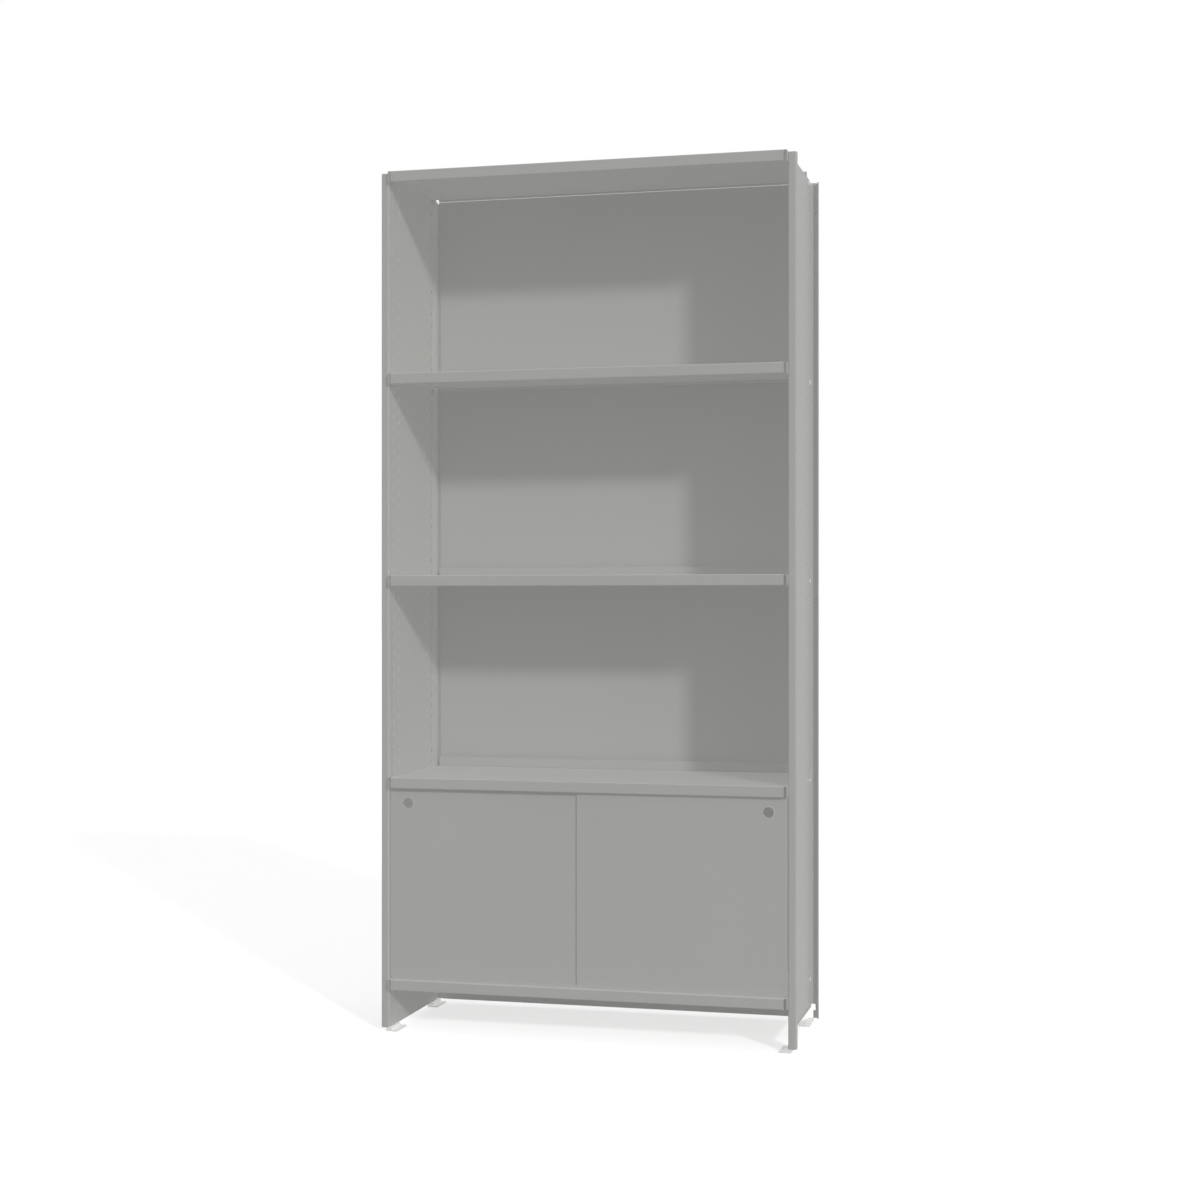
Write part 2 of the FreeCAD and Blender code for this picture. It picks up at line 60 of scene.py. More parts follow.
# %% Camera
CAMERA_PLACE = (1.0557, -4.1717, 0.9091)
CAMERA_TURN = math.radians(14.27)
CAMERA_LENS = 60.54            # mm, like the sensor
SENSOR_WIDTH = 36.0
FARTHEST_SEEN = 200.0


def into_scene(name, data):
    """A new object that holds the data, linked into the scene."""
    item = bpy.data.objects.new(name, data)
    bpy.context.scene.collection.objects.link(item)
    return item


camera_data = bpy.data.cameras.new("camera")
camera_data.lens = CAMERA_LENS
camera_data.sensor_width = SENSOR_WIDTH
camera_data.clip_end = FARTHEST_SEEN
camera = into_scene("camera", camera_data)
camera.location = CAMERA_PLACE
camera.rotation_euler = (math.pi / 2, 0.0, CAMERA_TURN)
bpy.context.scene.camera = camera
bpy.context.scene.view_settings.view_transform = "Standard"
print("camera: lens", CAMERA_LENS, "mm at", CAMERA_PLACE)

# %% [markdown]
# ## Light
# One lamp gives the light its direction. It stands low, in front and to the right. It is a few
# degrees wide, as a lamp with a small softbox is, so a shadow is sharp beside the edge that throws
# it and soft on the back of a bay. The rest of the light is even: a pale world, and weak lamps
# from six sides that cast no shadow, as white walls all round a studio would give. Larger soft
# lamps would also work, but they leave the deep bays too dark. A lamp without a shadow gives its
# full strength inside a bay only with multiple importance sampling off, because the share of the
# light that is found by bouncing rays is blocked by the shelves.

# %% Lamps
KEY_TRAVEL = Vector((-0.598, 0.693, -0.404))
KEY_STRENGTH = 1.172
KEY_ANGLE = math.radians(4.8)
FILL_ANGLE = math.radians(60)
FILL_LAMPS = {                 # the way the light travels, and how bright it makes a white face
    "from_above": ((0, 0, -1), 0.515),
    "from_below": ((0, 0, 1), 0.385),
    "from_front": ((0, 1, 0), 0.220),
    "from_right": ((-1, 0, 0), 0.337),
    "from_left": ((1, 0, 0), 0.220),
    "from_behind": ((0, -1, 0), 0.255),
}


def sun(name, travel, strength, angle):
    """A far lamp whose light travels along the given direction."""
    data = bpy.data.lights.new(name, "SUN")
    data.energy = strength
    data.angle = angle
    lamp = into_scene(name, data)
    lamp.rotation_mode = "QUATERNION"
    lamp.rotation_quaternion = Vector(travel).to_track_quat("-Z", "Y")
    return lamp


sun("key", KEY_TRAVEL, KEY_STRENGTH, KEY_ANGLE)
for name, (travel, level) in FILL_LAMPS.items():
    fill = sun(name, travel, level * math.pi, FILL_ANGLE)
    fill.data.use_shadow = False
    fill.data.cycles.use_multiple_importance_sampling = False
    fill.visible_glossy = False
print("lamps: one key and", len(FILL_LAMPS), "fills")

# %% [markdown]
# ## World and floor
# The world is a dim grey where it lights the bookcase, and plain white where the eye, a gloss or
# clear plastic looks straight at it. The floor does the same: the eye sees it white with the soft
# shadow of the bookcase on it, while what it throws back at the steel stays low. The Light Path
# node tells the two apart.

# %% Node helpers
def set_inputs(node, **values):
    """Sets a node's inputs by their names, with an underscore for each space."""
    for label, value in values.items():
        node.inputs[label.replace("_", " ")].default_value = value


def feed(links, value, socket):
    """Gives a socket its value: a number is set on it, and another socket is linked to it."""
    if isinstance(value, (int, float)):
        socket.default_value = value
    else:
        links.new(value, socket)


def calculated(nodes, links, operation, first, second):
    """One Math node; either value may be a socket or a number."""
    node = nodes.new("ShaderNodeMath")
    node.operation = operation
    feed(links, first, node.inputs[0])
    feed(links, second, node.inputs[1])
    return node.outputs[0]


def level_by_view(nodes, links, bounced, seen):
    """One level where the eye, a gloss or clear plastic looks, and another for other light."""
    path = nodes.new("ShaderNodeLightPath")
    looked_at = path.outputs["Is Camera Ray"]
    for ray in ("Is Glossy Ray", "Is Transmission Ray"):
        looked_at = calculated(nodes, links, "MAXIMUM", looked_at, path.outputs[ray])
    level = nodes.new("ShaderNodeMapRange")
    set_inputs(level, To_Min=bounced, To_Max=seen)
    links.new(looked_at, level.inputs["Value"])
    return level.outputs["Result"]


# %% World
WORLD_LEVEL = 0.48
WORLD_SEEN = 1.0

world = bpy.data.worlds.new("studio")
world.use_nodes = True
bpy.context.scene.world = world
nodes, links = world.node_tree.nodes, world.node_tree.links
background = nodes["Background"]
set_inputs(background, Color=(1, 1, 1, 1))
links.new(level_by_view(nodes, links, WORLD_LEVEL, WORLD_SEEN), background.inputs["Strength"])
print("world: level", WORLD_LEVEL, "for light and", WORLD_SEEN, "for the eye")

# %% Floor
FLOOR_SIZE = 80.0
FLOOR_SEEN = 0.88
FLOOR_BOUNCE = 0.15

floor_paint = bpy.data.materials.new("studio_floor")
floor_paint.use_nodes = True
nodes, links = floor_paint.node_tree.nodes, floor_paint.node_tree.links
nodes.clear()
matt = nodes.new("ShaderNodeBsdfDiffuse")
output = nodes.new("ShaderNodeOutputMaterial")
links.new(level_by_view(nodes, links, FLOOR_BOUNCE, FLOOR_SEEN), matt.inputs["Color"])
links.new(matt.outputs[0], output.inputs["Surface"])

half = FLOOR_SIZE / 2
floor_mesh = bpy.data.meshes.new("floor")
floor_mesh.from_pydata([(-half, -half, 0), (half, -half, 0), (half, half, 0), (-half, half, 0)],
                       [], [(0, 1, 2, 3)])
floor_mesh.materials.append(floor_paint)
floor = into_scene("floor", floor_mesh)
print("floor:", FLOOR_SIZE, "m square")

# %% [markdown]
# ## Shader groups
# Three effects come back in every finish, so each is a node group that is built once: the slow
# drift of a colour over a large part, a lighter line along an edge, partly where a coat is thin and
# gets rubbed and partly a painted highlight, and the fine pebbled skin that powder coat and moulded
# plastic have. Every group reads Object coordinates, which are metres here, so a grain size is a
# real size.

# %% Group helpers
FLOAT, COLOUR, VECTOR = "NodeSocketFloat", "NodeSocketColor", "NodeSocketVector"
NOISE_MIDDLE = 0.5             # noise runs from 0 to 1


def new_group(name, inputs, outputs):
    """An empty shader group with named sockets, and its nodes, links, inlet and outlet."""
    group = bpy.data.node_groups.new(name, "ShaderNodeTree")
    for direction, sockets in (("INPUT", inputs), ("OUTPUT", outputs)):
        for label, kind in sockets:
            group.interface.new_socket(label, in_out=direction, socket_type=kind)
    inlet = group.nodes.new("NodeGroupInput")
    outlet = group.nodes.new("NodeGroupOutput")
    return group, group.nodes, group.links, inlet, outlet


def noise(nodes, links, size, detail):
    """Noise whose features are about as large as `size`, in metres."""
    place = nodes.new("ShaderNodeTexCoord")
    texture = nodes.new("ShaderNodeTexNoise")
    set_inputs(texture, Detail=detail)
    links.new(place.outputs["Object"], texture.inputs["Vector"])
    links.new(calculated(nodes, links, "DIVIDE", 1.0, size), texture.inputs["Scale"])
    return texture.outputs["Fac"]


# %% [markdown]
# ### Drift
# A large coated part is never one exact colour: the coat is a little thicker here and thinner
# there. The drift is a slow noise that scales the colour up and down by a percent or two.

# %% Drift group
DRIFT_DETAIL = 1.0

DRIFT, nodes, links, inlet, outlet = new_group(
    "drift", [("Colour", COLOUR), ("Size", FLOAT), ("Amount", FLOAT)], [("Colour", COLOUR)])
slow = noise(nodes, links, inlet.outputs["Size"], DRIFT_DETAIL)
centred = calculated(nodes, links, "SUBTRACT", slow, NOISE_MIDDLE)
change = calculated(nodes, links, "MULTIPLY", centred, inlet.outputs["Amount"])
gain = calculated(nodes, links, "ADD", change, 1.0)
scaled = nodes.new("ShaderNodeVectorMath")
scaled.operation = "SCALE"
links.new(inlet.outputs["Colour"], scaled.inputs[0])
links.new(gain, scaled.inputs["Scale"])
links.new(scaled.outputs[0], outlet.inputs["Colour"])
print("group:", DRIFT.name)

# %% [markdown]
# ### Pebbled skin
# Powder melts into tiny rounded bumps about a millimetre across, with a finer tooth on them. The
# group gives the bumps as a normal, and a roughness that is a little higher in the hollows.

# %% Pebble group
BUMP_DETAIL = 1.0
TOOTH_DETAIL = 2.0
TOOTH_SIZE = 0.3               # as a share of a bump
TOOTH_HEIGHT = 0.35

PEBBLE, nodes, links, inlet, outlet = new_group(
    "pebble",
    [("Size", FLOAT), ("Depth", FLOAT), ("Rough", FLOAT), ("Rough spread", FLOAT),
     ("Normal", VECTOR)],
    [("Normal", VECTOR), ("Roughness", FLOAT)])
coarse = noise(nodes, links, inlet.outputs["Size"], BUMP_DETAIL)
fine_size = calculated(nodes, links, "MULTIPLY", inlet.outputs["Size"], TOOTH_SIZE)
fine = noise(nodes, links, fine_size, TOOTH_DETAIL)
tooth = calculated(nodes, links, "MULTIPLY", fine, TOOTH_HEIGHT)
height = calculated(nodes, links, "ADD", coarse, tooth)
bump = nodes.new("ShaderNodeBump")
set_inputs(bump, Strength=1.0)
links.new(inlet.outputs["Depth"], bump.inputs["Distance"])
links.new(height, bump.inputs["Height"])
links.new(inlet.outputs["Normal"], bump.inputs["Normal"])
links.new(bump.outputs["Normal"], outlet.inputs["Normal"])
centred = calculated(nodes, links, "SUBTRACT", coarse, NOISE_MIDDLE)
spread = calculated(nodes, links, "MULTIPLY", centred, inlet.outputs["Rough spread"])
roughness = calculated(nodes, links, "SUBTRACT", inlet.outputs["Rough"], spread)
links.new(roughness, outlet.inputs["Roughness"])
print("group:", PEBBLE.name)

# %% [markdown]
# ### Edge wear and painted highlight
# Powder pulls back from a cut or folded edge, and hands and packing polish it, so the lighter edge
# colour is partly wear; it is also partly a painted highlight. The Bevel node looks half a
# millimetre to each side: where its rounded normal leaves the true one, there is an edge.
# The rounded normal is handed on as well, so the edges of thin sheet catch the light softly.

# %% Edge group
EDGE_REACH = 0.5 * MM
EDGE_SAMPLES = 4
EDGE_STARTS = 0.99             # how far the two normals agree where the line begins
EDGE_FULL = 0.80               # and where it is at its strongest
PATCH_DETAIL = 3.0
MIX_FIRST, MIX_SECOND, MIX_RESULT = 6, 7, 2    # a Mix node's sockets for colours

EDGE, nodes, links, inlet, outlet = new_group(
    "edge wear and painted highlight",
    [("Colour", COLOUR), ("Edge colour", COLOUR), ("Amount", FLOAT), ("Patch size", FLOAT)],
    [("Colour", COLOUR), ("Normal", VECTOR)])
rounded = nodes.new("ShaderNodeBevel")
rounded.samples = EDGE_SAMPLES
set_inputs(rounded, Radius=EDGE_REACH)
true_normal = nodes.new("ShaderNodeNewGeometry")
agree = nodes.new("ShaderNodeVectorMath")
agree.operation = "DOT_PRODUCT"
links.new(rounded.outputs["Normal"], agree.inputs[0])
links.new(true_normal.outputs["Normal"], agree.inputs[1])
turned_away = nodes.new("ShaderNodeMapRange")
turned_away.interpolation_type = "SMOOTHSTEP"
set_inputs(turned_away, From_Min=EDGE_STARTS, From_Max=EDGE_FULL)
links.new(agree.outputs["Value"], turned_away.inputs["Value"])
patches = noise(nodes, links, inlet.outputs["Patch size"], PATCH_DETAIL)
patchy = calculated(nodes, links, "MULTIPLY", turned_away.outputs["Result"], patches)
mask = calculated(nodes, links, "MULTIPLY", patchy, inlet.outputs["Amount"])
# The lighter edge colour mixed in here is partly wear and partly a painted highlight.
blend = nodes.new("ShaderNodeMix")
blend.data_type = "RGBA"
links.new(mask, blend.inputs["Factor"])
links.new(inlet.outputs["Colour"], blend.inputs[MIX_FIRST])
links.new(inlet.outputs["Edge colour"], blend.inputs[MIX_SECOND])
links.new(blend.outputs[MIX_RESULT], outlet.inputs["Colour"])
links.new(rounded.outputs["Normal"], outlet.inputs["Normal"])
print("group:", EDGE.name)

# %% [markdown]
# ## Finishes
# A finish is a Principled shader fed by the groups. What is the same all over, such as how strongly
# it mirrors, is set on the shader itself. What changes over the surface comes through the groups.

# %% Finish helper
def place_group(nodes, group, **values):
    """Puts a group into a finish, with its own values for the named inputs."""
    node = nodes.new("ShaderNodeGroup")
    node.node_tree = group
    set_inputs(node, **values)
    return node


def make_finish(name, colour, drift, edge_wear_and_highlight_colour, edge_wear_and_highlight_amount, grain, depth, rough, rough_spread,
                drift_size=0.35, patch_size=0.02, **shader_values):
    """A drifting colour, lighter edges that are partly wear and partly a painted highlight, and a
    pebbled skin. All sizes are in metres.
    """
    material = bpy.data.materials.new(name)
    material.use_nodes = True
    nodes, links = material.node_tree.nodes, material.node_tree.links
    shader = nodes["Principled BSDF"]
    set_inputs(shader, **shader_values)
    drifting = place_group(nodes, DRIFT, Colour=(*colour, 1), Size=drift_size, Amount=drift)
    edged = place_group(nodes, EDGE, Edge_colour=(*edge_wear_and_highlight_colour, 1), Amount=edge_wear_and_highlight_amount,
                        Patch_size=patch_size)
    pebbled = place_group(nodes, PEBBLE, Size=grain, Depth=depth, Rough=rough,
                          Rough_spread=rough_spread)
    links.new(drifting.outputs["Colour"], edged.inputs["Colour"])
    links.new(edged.outputs["Colour"], shader.inputs["Base Color"])
    links.new(edged.outputs["Normal"], pebbled.inputs["Normal"])
    links.new(pebbled.outputs["Roughness"], shader.inputs["Roughness"])
    links.new(pebbled.outputs["Normal"], shader.inputs["Normal"])
    return material


# %% [markdown]
# The paint is a warm light grey. The inside rims of the finger pulls, the glides and the feet are
# plastic, so they have a finer skin and more mirror. The door tracks are painted strips.

# %% Painted and moulded finishes
GREY = (0.345, 0.345, 0.3355)

# Each finish's edge colour is lighter than its coat: partly wear, partly a painted highlight.
PAINT = make_finish(
    "light_grey_powder_coat", colour=GREY, drift=0.035,
    edge_wear_and_highlight_colour=(0.42, 0.42, 0.405), edge_wear_and_highlight_amount=0.25,
    grain=0.0011, depth=0.00002, rough=0.55, rough_spread=0.14, Specular_IOR_Level=0.13)
TRACK_PAINT = make_finish(
    "grey_track_paint", colour=(0.335, 0.335, 0.32), drift=0.03,
    edge_wear_and_highlight_colour=(0.44, 0.44, 0.42), edge_wear_and_highlight_amount=0.30,
    grain=0.0008, depth=0.00002, rough=0.45, rough_spread=0.10, Specular_IOR_Level=0.3)
RING_PLASTIC = make_finish(
    "grey_moulded_plastic", colour=GREY, drift=0.02,
    edge_wear_and_highlight_colour=(0.37, 0.37, 0.36), edge_wear_and_highlight_amount=0.10,
    grain=0.0005, depth=0.00001, rough=0.46, rough_spread=0.08, Specular_IOR_Level=0.32)
NYLON = make_finish(
    "white_nylon", colour=(0.72, 0.72, 0.68), drift=0.03,
    edge_wear_and_highlight_colour=(0.80, 0.80, 0.78), edge_wear_and_highlight_amount=0.3,
    grain=0.0006, depth=0.00001, rough=0.38, rough_spread=0.08, Specular_IOR_Level=0.45)
FOOT_PLASTIC = make_finish(
    "pale_foot_plastic", colour=(0.66, 0.66, 0.65), drift=0.03,
    edge_wear_and_highlight_colour=(0.74, 0.74, 0.73), edge_wear_and_highlight_amount=0.3,
    grain=0.0009, depth=0.00002, rough=0.48, rough_spread=0.10, Specular_IOR_Level=0.4)
print("coats:", [m.name for m in (PAINT, TRACK_PAINT, RING_PLASTIC, NYLON, FOOT_PLASTIC)])

# %% [markdown]
# Zinc plate is a bright metal with soft grey clouds, and its edges are lighter: partly fine marks
# where a spanner or the tumbling drum has scratched it, partly a painted highlight. The same groups
# make it, with the drift as small clouds.

# %% Zinc finish
# The bright edge colour here is partly scratches and partly a painted highlight.
ZINC = make_finish(
    "zinc_plate", colour=(0.82, 0.83, 0.84), drift=0.3, drift_size=0.004,
    edge_wear_and_highlight_colour=(0.90, 0.90, 0.90), edge_wear_and_highlight_amount=0.6, patch_size=0.003,
    grain=0.0006, depth=0.00001, rough=0.30, rough_spread=0.2, Metallic=1.0)
print("plate:", ZINC.name)

# %% [markdown]
# ## Give the frame's pieces their finish
# Each piece of the frame keeps its mesh. Only what fills its material slots changes.

# %% Finish by name
FINISH_BY_WORD = (("foot", FOOT_PLASTIC), ("glides", NYLON), ("ring", RING_PLASTIC),
                  ("track", TRACK_PAINT), ("screws", ZINC), ("bolts", ZINC), ("nuts", ZINC))


def finish_for(name):
    """The finish of a frame piece, from the word in its name; all the rest is painted."""
    return next((finish for word, finish in FINISH_BY_WORD if word in name), PAINT)


for name, node in NODES.items():
    for slot in node.material_slots:
        slot.material = finish_for(name)
print("finished:", len(NODES), "frame pieces")

# %% [markdown]
# ## Copies and islands
# A frame mesh is loose triangles. To work on one, its mesh is copied and its doubled points are
# merged. A node may hold several separate solids, such as ten bolts, and the box of each one says
# where its detailed stand-in goes.

# %% Copy and measure helpers
DOUBLED = 0.001 * MM           # nearer points than this are one point


def merged(name):
    """A bmesh of a frame piece, with its doubled points merged."""
    work = bmesh.new()
    work.from_mesh(NODES[name].data)
    bmesh.ops.remove_doubles(work, verts=work.verts, dist=DOUBLED)
    return work


def merged_copy(name):
    """A sound mesh of a frame piece."""
    work = merged(name)
    mesh = bpy.data.meshes.new(name + "_copy")
    work.to_mesh(mesh)
    work.free()
    return mesh


def island_boxes(name):
    """Lowest and highest corner of each separate solid in a frame piece."""
    work = merged(name)
    left, boxes = set(work.verts), []
    while left:
        queue, island = [left.pop()], []
        while queue:
            point = queue.pop()
            island.append(point.co.copy())
            for edge in point.link_edges:
                other = edge.other_vert(point)
                if other in left:
                    left.remove(other)
                    queue.append(other)
        boxes.append((Vector(map(min, *island)), Vector(map(max, *island))))
    work.free()
    return sorted(boxes, key=lambda box: (round(box[0].x, 3), box[0].z))


# %% [markdown]
# A finished mesh becomes a piece of the bookcase: it rides on a body, takes its finish as its one
# material, and the frame piece whose place it has is hidden.

# %% Piece helpers
SHARP_ANGLE = math.radians(35)


def smooth_curves(mesh):
    """Shades a mesh smooth, except over its sharp edges."""
    mesh.polygons.foreach_set("use_smooth", [True] * len(mesh.polygons))
    mesh.set_sharp_from_angle(angle=SHARP_ANGLE)


def keep_piece(name, mesh, finish, body, slot, *replaced):
    """Makes a mesh a piece of the bookcase, in place, and hides the frame pieces it replaces."""
    mesh.materials.clear()
    mesh.materials.append(finish)
    piece = into_scene(name, mesh)
    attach(piece, body)
    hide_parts(*replaced)
    triangles = sum(len(face.vertices) - 2 for face in mesh.polygons)
    print(f"{name}: {triangles} triangles on {body}")


# %% [markdown]
# ## Geometry Nodes helper
# A tree that repeats something needs the same frame every time: named inputs for its sizes, and at
# the end real geometry with a material. `run_tree` puts the tree on a mesh, sets its inputs by
# their identifiers, and takes the result back as a plain mesh.

# %% Tree helpers
GEOMETRY, MATERIAL, OBJECT = "NodeSocketGeometry", "NodeSocketMaterial", "NodeSocketObject"
COUNT = "NodeSocketInt"


def new_tree(name, inputs):
    """An empty Geometry Nodes tree that takes a mesh, named values and a material."""
    tree = bpy.data.node_groups.new(name, "GeometryNodeTree")
    for label, kind in (("Geometry", GEOMETRY), *inputs, ("Finish", MATERIAL)):
        tree.interface.new_socket(label, in_out="INPUT", socket_type=kind)
    tree.interface.new_socket("Geometry", in_out="OUTPUT", socket_type=GEOMETRY)
    inlet = tree.nodes.new("NodeGroupInput")
    outlet = tree.nodes.new("NodeGroupOutput")
    return tree, tree.nodes, tree.links, inlet, outlet


def end_tree(tree, geometry, inlet, outlet):
    """Realizes the instances and sets the material, which ends every tree."""
    real = tree.nodes.new("GeometryNodeRealizeInstances")
    painted = tree.nodes.new("GeometryNodeSetMaterial")
    tree.links.new(geometry, real.inputs["Geometry"])
    tree.links.new(real.outputs["Geometry"], painted.inputs["Geometry"])
    tree.links.new(inlet.outputs["Finish"], painted.inputs["Material"])
    tree.links.new(painted.outputs["Geometry"], outlet.inputs["Geometry"])


def plain_mesh(item):
    """The mesh of an object with its modifiers worked into it."""
    seen_by = bpy.context.evaluated_depsgraph_get()
    return bpy.data.meshes.new_from_object(item.evaluated_get(seen_by))


def run_tree(tree, mesh, **values):
    """The plain mesh that a tree makes from a mesh and its named values."""
    holder = into_scene("holder", mesh)
    modifier = holder.modifiers.new("nodes", "NODES")
    modifier.node_group = tree
    names = {item.name: item.identifier for item in tree.interface.items_tree
             if item.in_out == "INPUT"}
    for label, value in values.items():
        modifier[names[label.replace("_", " ")]] = value
    result = plain_mesh(holder)
    holder.modifiers.clear()
    bpy.data.objects.remove(holder)
    return result


def vector_of(nodes, links, x=0.0, y=0.0, z=0.0):
    """A vector whose parts are sockets or numbers."""
    node = nodes.new("ShaderNodeCombineXYZ")
    for value, socket in zip((x, y, z), node.inputs):
        feed(links, value, socket)
    return node.outputs[0]


# %% [markdown]
# ## Side panels: the inner slot columns
# Each panel's web is punched with four columns of slots at a pitch of 25 mm. The frame carries the
# two outer columns, where the shelf brackets hang. The two inner ones sit half a pitch higher, so
# that a shelf can be moved in smaller steps. A tree lines up one cutter per slot and takes them all
# out of a copy of the panel in one cut, which leaves real holes.

# %% Slot tree
SLOTS, nodes, links, inlet, outlet = new_tree("slot_columns", [
    ("Web", FLOAT), ("Front column", FLOAT), ("Rear column", FLOAT), ("Lowest slot", FLOAT),
    ("Pitch", FLOAT), ("Rows", COUNT), ("Slot width", FLOAT), ("Slot height", FLOAT),
    ("Cut depth", FLOAT)])
cutter = nodes.new("GeometryNodeMeshCube")
links.new(vector_of(nodes, links, inlet.outputs["Cut depth"], inlet.outputs["Slot width"],
                    inlet.outputs["Slot height"]), cutter.inputs["Size"])
all_points = nodes.new("GeometryNodeJoinGeometry")
for column in ("Front column", "Rear column"):
    line = nodes.new("GeometryNodeMeshLine")
    links.new(inlet.outputs["Rows"], line.inputs["Count"])
    links.new(vector_of(nodes, links, inlet.outputs["Web"], inlet.outputs[column],
                        inlet.outputs["Lowest slot"]), line.inputs["Start Location"])
    links.new(vector_of(nodes, links, z=inlet.outputs["Pitch"]), line.inputs["Offset"])
    links.new(line.outputs["Mesh"], all_points.inputs["Geometry"])
placed = nodes.new("GeometryNodeInstanceOnPoints")
links.new(all_points.outputs["Geometry"], placed.inputs["Points"])
links.new(cutter.outputs["Mesh"], placed.inputs["Instance"])
real_cutters = nodes.new("GeometryNodeRealizeInstances")
links.new(placed.outputs["Instances"], real_cutters.inputs["Geometry"])
cut = nodes.new("GeometryNodeMeshBoolean")
cut.operation = "DIFFERENCE"
cut.solver = "EXACT"
links.new(inlet.outputs["Geometry"], cut.inputs["Mesh 1"])
links.new(real_cutters.outputs["Geometry"], cut.inputs["Mesh 2"])
end_tree(SLOTS, cut.outputs["Mesh"], inlet, outlet)
print("tree:", SLOTS.name)

# %% Punch the panels
SLOT_PITCH = 25 * MM
SLOT_WIDTH = 4 * MM
SLOT_HEIGHT = 9 * MM
CUT_DEPTH = 4 * MM
WEB_INSET = 16.375 * MM        # outer plane to the middle of the web's sheet
FRONT_COLUMN = 63 * MM         # behind the panel's front face
REAR_COLUMN = 246 * MM
LOWEST_INNER_SLOT = 28.5 * MM  # above the panel's lower end
INNER_ROWS = 71

for name in ("right_side_panel", "left_side_panel"):
    low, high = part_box(name)
    web = high.x - WEB_INSET if high.x > 0 else low.x + WEB_INSET
    panel = run_tree(SLOTS, merged_copy(name), Web=web,
                     Front_column=low.y + FRONT_COLUMN, Rear_column=low.y + REAR_COLUMN,
                     Lowest_slot=low.z + LOWEST_INNER_SLOT, Pitch=SLOT_PITCH, Rows=INNER_ROWS,
                     Slot_width=SLOT_WIDTH, Slot_height=SLOT_HEIGHT, Cut_depth=CUT_DEPTH,
                     Finish=PAINT)
    smooth_curves(panel)
    keep_piece("punched_" + name, panel, PAINT, "bookcase", "light_grey_paint", name)

# %% [markdown]
# ## Turned parts
# Pan heads, rings, nuts and threads are all one outline turned about an axis. `turned` takes the
# outline as radius and depth, from one end of the axis round to the other, and turns it in equal
# steps. A closed outline, such as a ring's, joins its last point to its first. A hexagon's outline
# changes with the angle, so an outline may also be a function of it.

# %% Turning helpers
POLE = 0.0001 * MM             # points on the axis that are nearer than this are one point


def turned(outline, steps, closed):
    """A bmesh with an outline of (radius, depth) turned about +X."""
    work = bmesh.new()
    rings = []
    for step in range(steps):
        angle = 2 * math.pi * step / steps
        points = outline(angle) if callable(outline) else outline
        rings.append([work.verts.new((depth, radius * math.cos(angle), radius * math.sin(angle)))
                      for radius, depth in points])
    count = len(rings[0])
    spans = count if closed else count - 1
    for step in range(steps):
        this, following = rings[step], rings[(step + 1) % steps]
        for i in range(spans):
            j = (i + 1) % count
            work.faces.new((this[i], this[j], following[j], following[i]))
    bmesh.ops.remove_doubles(work, verts=work.verts, dist=POLE)
    return work


def closed_mesh(work, name):
    """The mesh of a closed solid, its faces outwards, shaded smooth over its curves."""
    bmesh.ops.recalc_face_normals(work, faces=work.faces)
    if work.calc_volume(signed=True) < 0:
        bmesh.ops.reverse_faces(work, faces=work.faces)
    mesh = bpy.data.meshes.new(name)
    work.to_mesh(mesh)
    work.free()
    smooth_curves(mesh)
    return mesh


# %% [markdown]
# ## Finger rings
# Each door is pulled by a round hole lined with a plastic ring: a sleeve through the door and a
# narrow rounded flange on its face. It is one closed outline, turned in 72 steps, because the hole
# is the one round thing on the front and its edge shows.

# %% Rings
RING_STEPS = 72
RING_BORE = 21.5 * MM
RING_WALL = 1.0 * MM
FLANGE_PROUD = 0.6 * MM
QUARTER_TURN = [i * math.pi / 8 for i in range(5)]


def ring_outline(flange_radius, length):
    """The closed section of a ring: bore, rounded lip, flange, sleeve. Depth 0 is the lip."""
    inner, sleeve, proud = RING_BORE / 2, RING_BORE / 2 + RING_WALL, FLANGE_PROUD
    lip = [(inner + proud * (1 - math.cos(a)), proud * (1 - math.sin(a))) for a in QUARTER_TURN]
    rim = [(flange_radius - proud * (1 - math.sin(a)), proud * (1 - math.cos(a)))
           for a in QUARTER_TURN]
    return lip + rim + [(sleeve, proud), (sleeve, length), (inner, length)]


for side in ("right", "left"):
    name = side + "_finger_ring"
    low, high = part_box(name)
    work = turned(ring_outline((high.x - low.x) / 2, high.y - low.y), RING_STEPS, closed=True)
    for point in work.verts:
        depth, across, up = point.co
        point.co = ((low.x + high.x) / 2 + across, low.y + depth, (low.z + high.z) / 2 + up)
    keep_piece("turned_" + name, closed_mesh(work, name + "_turned"), RING_PLASTIC,
               side + "_door", "ring_plastic", name)

# %% [markdown]
# ## Bolts, nuts and screws
# The shelves hang on brackets, and one bolt and nut at the rear of each bracket keeps it from
# lifting out. The back is held by pan-head screws. One of each kind is modelled, and a tree puts a
# copy at every place where the frame has one, turned to face outwards.

# %% Fastener tree
FASTENERS, nodes, links, inlet, outlet = new_tree("fasteners", [("Model", OBJECT)])
model = nodes.new("GeometryNodeObjectInfo")
links.new(inlet.outputs["Model"], model.inputs["Object"])
turn = nodes.new("GeometryNodeInputNamedAttribute")
turn.data_type = "FLOAT_VECTOR"
set_inputs(turn, Name="turn")
rotation = nodes.new("FunctionNodeEulerToRotation")
links.new(turn.outputs["Attribute"], rotation.inputs[0])
placed = nodes.new("GeometryNodeInstanceOnPoints")
links.new(inlet.outputs["Geometry"], placed.inputs["Points"])
links.new(model.outputs["Geometry"], placed.inputs["Instance"])
links.new(rotation.outputs[0], placed.inputs["Rotation"])
end_tree(FASTENERS, placed.outputs["Instances"], inlet, outlet)


